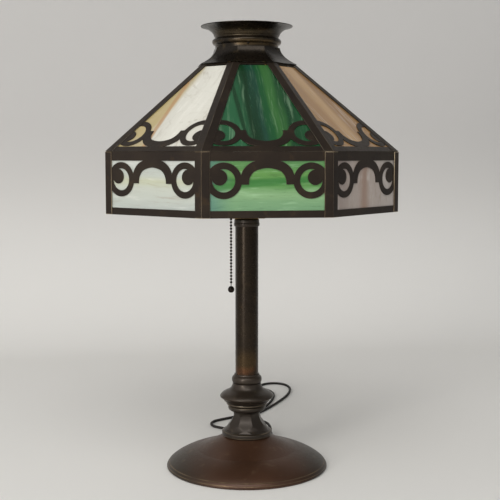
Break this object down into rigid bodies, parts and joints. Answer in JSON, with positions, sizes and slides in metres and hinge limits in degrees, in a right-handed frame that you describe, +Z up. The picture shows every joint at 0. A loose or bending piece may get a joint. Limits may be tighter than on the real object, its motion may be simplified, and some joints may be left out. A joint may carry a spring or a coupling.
{
  "type": "table lamp",
  "caption": "Table lamp with an octagonal slag-glass panel shade in pierced bronze overlays, flared vent crown, turned column on a round domed base, pull chain and cord.",
  "frame": {"origin": "on the lamp's vertical axis at the bottom face of the base", "axes": "+Z up along the column; a flat side of the octagonal shade faces -Y (front); the cord leaves the base at +Y"},
  "size_m": [0.3626, 0.6504, 0.5753],
  "materials": {
    "bronze_base": "dark brown bronze patina, satin, worn brassy on edges",
    "bronze_shade": "dark bronze-green patina on thin brass sheet, satin",
    "cast_iron": "raw sand casting",
    "felt": "matt wool felt",
    "steel": "dull plated steel",
    "rubber": "matt black rubber",
    "cord_cover": "dark brown braided rayon over rubber",
    "plug_plastic": "dark brown moulded plastic",
    "brass": "aged brass",
    "socket_brass": "dulled brass with patina",
    "card": "grey-brown fibre card",
    "ceramic": "off-white glazed porcelain",
    "bulb_glass": "inside-frosted lamp glass",
    "chain_metal": "browned brass ball chain",
    "solder": "tinned brass tabs, dull",
    "green_glass": "streaky green slag glass, semi-opaque, glossy",
    "opal_glass": "white and caramel opal slag glass, semi-opaque, glossy"
  },
  "bodies": {
    "stand": {"base_foot": "bronze_base", "base_weight": "cast_iron", "base_felt": "felt", "base_washer": "steel", "base_locknut": "steel", "pedestal": "bronze_base", "knop": "bronze_base", "column_lower_collar": "bronze_base", "column_tube": "bronze_base", "column_top_collar": "bronze_base", "lamp_pipe": "steel", "cord_bushing": "rubber", "power_cord": "cord_cover", "cord_tail": "cord_cover", "inner_lead": "cord_cover", "cord_coil": "cord_cover", "plug_body": "plug_plastic", "plug_blades": "brass", "socket_cap": "socket_brass", "socket_shell": "socket_brass", "socket_insulator": "card", "socket_interior": "ceramic", "pull_chain_guide": "socket_brass", "harp_saddle": "brass", "harp_wire": "brass"},
    "shade": {"crown": "bronze_shade", "spider": "brass", "spider_rivets": "brass", "corner_strips": "bronze_shade", "hip_strips": "bronze_shade", "lower_filigree": "bronze_shade", "upper_filigree": "bronze_shade", "glass_clips": "solder", "lower_glass_1": "green_glass", "lower_glass_2": "opal_glass", "lower_glass_3": "green_glass", "lower_glass_4": "opal_glass", "lower_glass_5": "green_glass", "lower_glass_6": "opal_glass", "lower_glass_7": "green_glass", "lower_glass_8": "opal_glass", "upper_glass_1": "green_glass", "upper_glass_2": "opal_glass", "upper_glass_3": "green_glass", "upper_glass_4": "opal_glass", "upper_glass_5": "green_glass", "upper_glass_6": "opal_glass", "upper_glass_7": "green_glass", "upper_glass_8": "opal_glass"},
    "finial": {"finial": "brass"},
    "bulb": {"bulb_glass": "bulb_glass", "bulb_base": "brass"},
    "harp_ferrule_left": {"harp_ferrule_left": "brass"},
    "harp_ferrule_right": {"harp_ferrule_right": "brass"},
    "pull_lead": {"pull_lead": "chain_metal"},
    "pull_chain": {"pull_chain": "chain_metal", "chain_bell": "chain_metal"}
  },
  "joints": [
    {"name": "chain_pull", "type": "slide", "parent": "stand", "child": "pull_lead", "axis": [0, 0, -1], "range_m": [0, 0.008], "stiffness_N_per_m": 300, "springref_m": -0.003},
    {"name": "chain_swing", "type": "hinge", "parent": "pull_lead", "child": "pull_chain", "pos_m": [-0.0236, -0.0251, 0.358], "axis": [-0.685, -0.7285, 0], "range_deg": [-35, 35]},
    {"name": "shade_turn", "type": "hinge", "parent": "stand", "child": "shade", "pos_m": [0, 0, 0.548], "axis": [0, 0, 1], "continuous": true},
    {"name": "finial_turn", "type": "hinge", "parent": "stand", "child": "finial", "pos_m": [0, 0, 0.556], "axis": [0, 0, 1], "continuous": true},
    {"name": "bulb_turn", "type": "hinge", "parent": "stand", "child": "bulb", "pos_m": [0, 0, 0.42], "axis": [0, 0, 1], "continuous": true},
    {"name": "harp_ferrule_left_lift", "type": "slide", "parent": "stand", "child": "harp_ferrule_left", "axis": [0, 0, 1], "range_m": [0, 0.012]},
    {"name": "harp_ferrule_right_lift", "type": "slide", "parent": "stand", "child": "harp_ferrule_right", "axis": [0, 0, 1], "range_m": [0, 0.012]}
  ]
}
